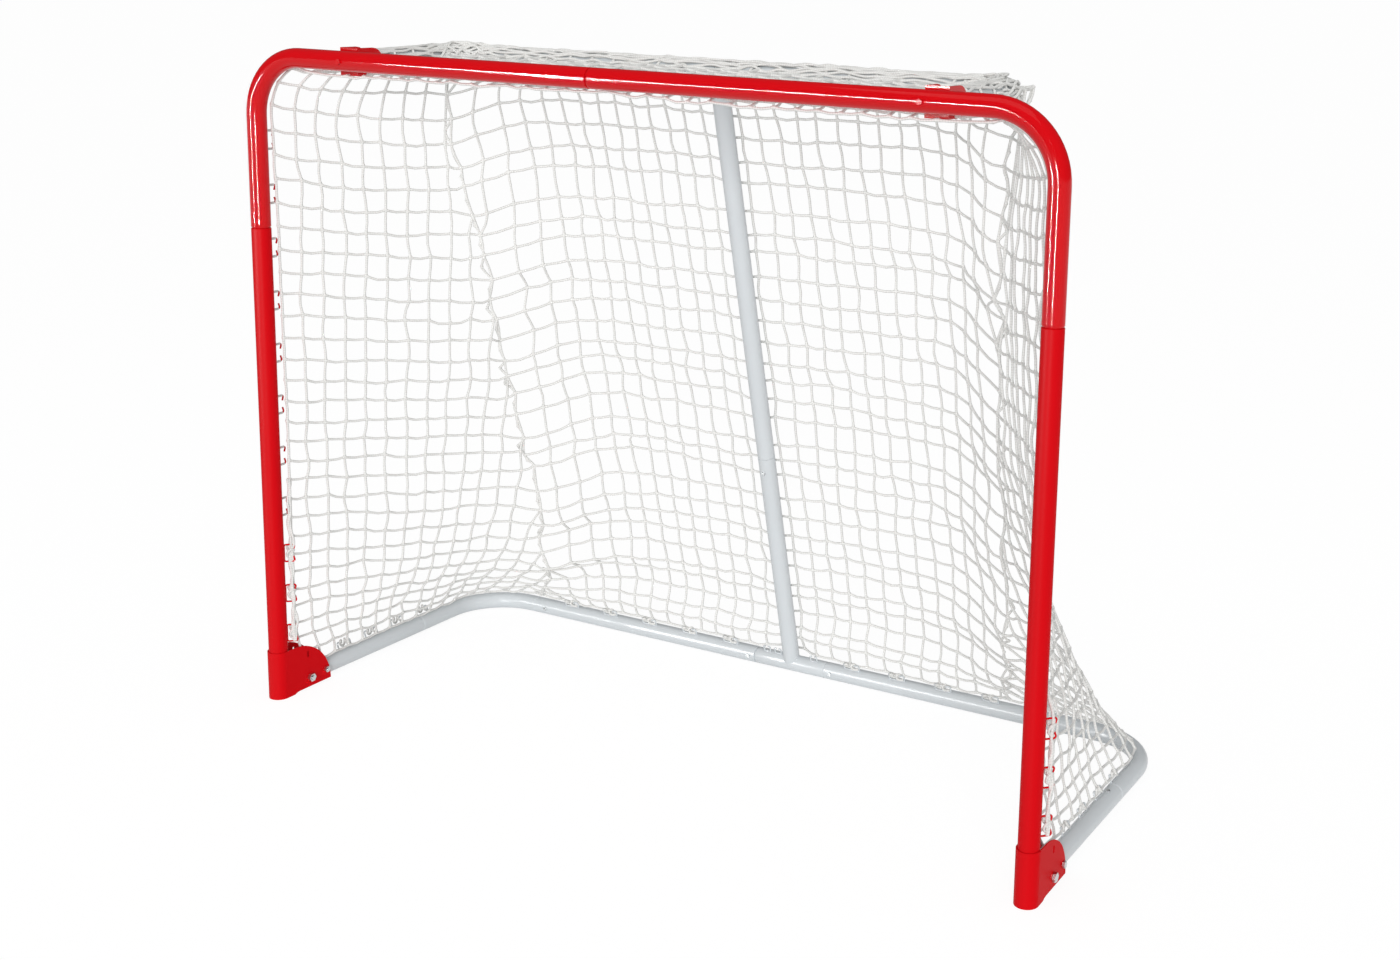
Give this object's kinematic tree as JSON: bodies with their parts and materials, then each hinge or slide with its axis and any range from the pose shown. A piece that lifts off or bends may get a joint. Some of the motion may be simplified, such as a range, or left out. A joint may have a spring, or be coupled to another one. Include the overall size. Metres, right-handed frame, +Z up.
{
  "type": "folding street hockey goal",
  "caption": "Folding street hockey goal: red tube hoop on hinged quarter-round foot brackets, grey folding base, sloping centre bar, top shelf and white cord net.",
  "frame": {"origin": "on the floor under the middle of the goal's bounding box", "axes": "+Z up, +X to the right seen from in front of the mouth, +Y towards the back of the goal"},
  "size_m": [1.4522, 0.5873, 1.122],
  "materials": {
    "red_enamel": "gloss",
    "grey_enamel": "satin gloss",
    "zinc_steel": "zinc plated",
    "net_cord": "braided cord"
  },
  "bodies": {
    "front_frame": {"crossbar_left": "red_enamel", "crossbar_right": "red_enamel", "post_left": "red_enamel", "post_right": "red_enamel", "foot_bracket_left": "red_enamel", "foot_bracket_right": "red_enamel", "top_bracket_left": "red_enamel", "top_bracket_right": "red_enamel", "base_pivot_bolt_left": "zinc_steel", "base_pivot_bolt_left_nut": "zinc_steel", "base_stop_bolt_left": "zinc_steel", "base_stop_bolt_left_nut": "zinc_steel", "shelf_bolt_left": "zinc_steel", "shelf_bolt_left_nut": "zinc_steel", "bracket_screw_left": "zinc_steel", "bracket_screw_left_nut": "zinc_steel", "base_pivot_bolt_right": "zinc_steel", "base_pivot_bolt_right_nut": "zinc_steel", "base_stop_bolt_right": "zinc_steel", "base_stop_bolt_right_nut": "zinc_steel", "shelf_bolt_right": "zinc_steel", "shelf_bolt_right_nut": "zinc_steel", "bracket_screw_right": "zinc_steel", "bracket_screw_right_nut": "zinc_steel", "net_back": "net_cord", "net_left": "net_cord", "net_right": "net_cord", "net_top": "net_cord"},
    "base_frame": {"side_tube_left": "grey_enamel", "side_tube_right": "grey_enamel", "corner_tube_left": "grey_enamel", "corner_tube_right": "grey_enamel", "rear_tube_left": "grey_enamel", "rear_tube_right": "grey_enamel", "rear_rivet_left": "zinc_steel", "rear_rivet_right": "zinc_steel"},
    "bar_lower": {"tee_sleeve": "grey_enamel", "centre_bar_lower": "grey_enamel"},
    "bar_upper": {"centre_bar_upper": "grey_enamel"},
    "shelf": {"shelf_tube_left": "grey_enamel", "shelf_tube_right": "grey_enamel"},
    "post_button_left": {"post_button_left": "zinc_steel"},
    "post_button_right": {"post_button_right": "zinc_steel"},
    "crossbar_button": {"crossbar_button": "zinc_steel"},
    "side_button_left": {"side_button_left": "zinc_steel"},
    "side_button_right": {"side_button_right": "zinc_steel"},
    "rear_button_left": {"rear_button_left": "zinc_steel"},
    "rear_button_right": {"rear_button_right": "zinc_steel"},
    "bar_button": {"bar_button": "zinc_steel"}
  },
  "joints": [
    {"name": "base_fold", "type": "hinge", "parent": "front_frame", "child": "base_frame", "pos_m": [0, -0.22197, 0.02], "axis": [1, 0, 0], "range_deg": [0, 90], "deforming": ["net_back", "net_left", "net_right", "net_top"]},
    {"name": "tee_turn", "type": "hinge", "parent": "base_frame", "child": "bar_lower", "pos_m": [0, 0.27843, 0.01471], "axis": [-1, 0, 0], "range_deg": [0, 109.5]},
    {"name": "bar_fold", "type": "hinge", "parent": "bar_lower", "child": "bar_upper", "pos_m": [0, 0.1917, 0.43416], "axis": [-1, 0, 0], "range_deg": [0, 180]},
    {"name": "shelf_fold", "type": "hinge", "parent": "front_frame", "child": "shelf", "pos_m": [0, -0.22497, 1.10003], "axis": [-1, 0, 0], "range_deg": [0, 90]},
    {"name": "post_button_left_press", "type": "slide", "parent": "front_frame", "child": "post_button_left", "axis": [0, -1, 0], "range_m": [0, 0.004], "stiffness_N_per_m": 400, "springref_m": -0.001},
    {"name": "post_button_right_press", "type": "slide", "parent": "front_frame", "child": "post_button_right", "axis": [0, -1, 0], "range_m": [0, 0.004], "stiffness_N_per_m": 400, "springref_m": -0.001},
    {"name": "crossbar_button_press", "type": "slide", "parent": "front_frame", "child": "crossbar_button", "axis": [0, -1, 0], "range_m": [0, 0.004], "stiffness_N_per_m": 400, "springref_m": -0.001},
    {"name": "side_button_left_press", "type": "slide", "parent": "base_frame", "child": "side_button_left", "axis": [0, -0.0106, -0.9999], "range_m": [0, 0.004], "stiffness_N_per_m": 400, "springref_m": -0.001},
    {"name": "side_button_right_press", "type": "slide", "parent": "base_frame", "child": "side_button_right", "axis": [0, -0.0106, -0.9999], "range_m": [0, 0.004], "stiffness_N_per_m": 400, "springref_m": -0.001},
    {"name": "rear_button_left_press", "type": "slide", "parent": "base_frame", "child": "rear_button_left", "axis": [0, 1, 0], "range_m": [0, 0.004], "stiffness_N_per_m": 400, "springref_m": -0.001},
    {"name": "rear_button_right_press", "type": "slide", "parent": "base_frame", "child": "rear_button_right", "axis": [0, 1, 0], "range_m": [0, 0.004], "stiffness_N_per_m": 400, "springref_m": -0.001},
    {"name": "bar_button_press", "type": "slide", "parent": "bar_lower", "child": "bar_button", "axis": [0, 0.9708, 0.2401], "range_m": [0, 0.004], "stiffness_N_per_m": 400, "springref_m": -0.001}
  ],
  "couplings": [
    {"joint": "tee_turn", "follows": "base_fold", "ratio": 1.2156},
    {"joint": "bar_fold", "follows": "base_fold", "ratio": 2},
    {"joint": "shelf_fold", "follows": "base_fold", "ratio": 1}
  ]
}
